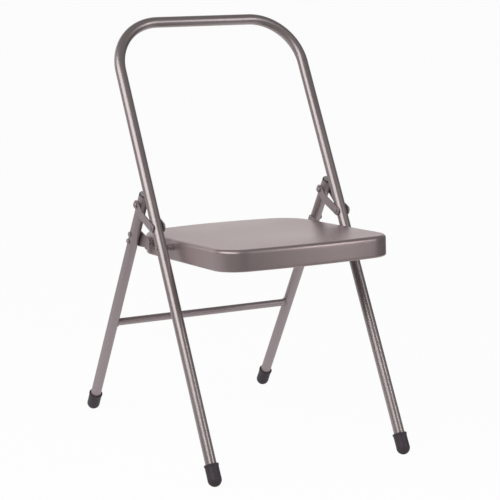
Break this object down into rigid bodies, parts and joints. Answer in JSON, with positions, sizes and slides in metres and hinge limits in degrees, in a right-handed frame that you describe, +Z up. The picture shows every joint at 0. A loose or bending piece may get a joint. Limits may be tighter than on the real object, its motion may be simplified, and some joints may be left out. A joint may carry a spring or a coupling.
{
  "type": "backless yoga chair",
  "caption": "Folding metal yoga chair with a bent-tube frame, an open back under a rounded top bar, a pressed seat pan and rubber ball feet.",
  "frame": {"origin": "on the floor, in the middle of the chair's outline seen from above", "axes": "+X to the right as seen from the front, +Y towards the back, +Z up; the seat's front faces -Y"},
  "size_m": [0.4172, 0.5724, 0.78],
  "materials": {
    "frame_paint": "satin taupe metallic powder coat",
    "seat_paint": "satin taupe metallic powder coat",
    "leg_paint": "satin taupe metallic powder coat",
    "rivet_steel": "painted over steel rivet heads",
    "rubber": "matt charcoal moulded rubber"
  },
  "bodies": {
    "frame": {"front_frame": "frame_paint", "foot_cap_front_left": "rubber", "link_front_rivet_left": "rivet_steel", "seat_pivot_rivet_left": "rivet_steel", "seat_pivot_spacer_left": "leg_paint", "foot_cap_front_right": "rubber", "link_front_rivet_right": "rivet_steel", "seat_pivot_rivet_right": "rivet_steel", "seat_pivot_spacer_right": "leg_paint"},
    "seat": {"seat_pan": "seat_paint", "rear_pivot_rivet_left": "rivet_steel", "rear_pivot_spacer_left": "leg_paint", "rear_pivot_rivet_right": "rivet_steel", "rear_pivot_spacer_right": "leg_paint"},
    "rear_legs": {"rear_crossbar": "leg_paint", "rear_leg_left": "leg_paint", "rear_leg_plug_left": "rubber", "foot_cap_rear_left": "rubber", "hinge_bracket_left": "leg_paint", "bracket_rivet_upper_left": "rivet_steel", "bracket_rivet_lower_left": "rivet_steel", "rear_leg_right": "leg_paint", "rear_leg_plug_right": "rubber", "foot_cap_rear_right": "rubber", "hinge_bracket_right": "leg_paint", "bracket_rivet_upper_right": "rivet_steel", "bracket_rivet_lower_right": "rivet_steel"},
    "link_left": {"link_strap_outer_left": "leg_paint", "link_strap_inner_left": "leg_paint", "link_rear_rivet_outer_left": "rivet_steel", "link_rear_rivet_inner_left": "rivet_steel"},
    "link_right": {"link_strap_outer_right": "leg_paint", "link_strap_inner_right": "leg_paint", "link_rear_rivet_outer_right": "rivet_steel", "link_rear_rivet_inner_right": "rivet_steel"}
  },
  "joints": [
    {"name": "seat_fold", "type": "hinge", "parent": "frame", "child": "seat", "pos_m": [0, -0.06731, 0.383], "axis": [-1, 0, 0], "range_deg": [0, 112]},
    {"name": "rear_leg_swing", "type": "hinge", "parent": "seat", "child": "rear_legs", "pos_m": [0, 0.024, 0.3755], "axis": [1, 0, 0], "range_deg": [0, 54.25]},
    {"name": "link_swing_left", "type": "hinge", "parent": "frame", "child": "link_left", "pos_m": [-0.1915, -0.04756, 0.4185], "axis": [-1, 0, 0], "range_deg": [0, 118.7]},
    {"name": "link_swing_right", "type": "hinge", "parent": "frame", "child": "link_right", "pos_m": [0.1915, -0.04756, 0.4185], "axis": [-1, 0, 0], "range_deg": [0, 118.7]}
  ],
  "couplings": [
    {"joint": "rear_leg_swing", "follows": "seat_fold", "ratio": 0.48408},
    {"joint": "link_swing_left", "follows": "seat_fold", "ratio": 1.0594},
    {"joint": "link_swing_right", "follows": "seat_fold", "ratio": 1.0594}
  ]
}
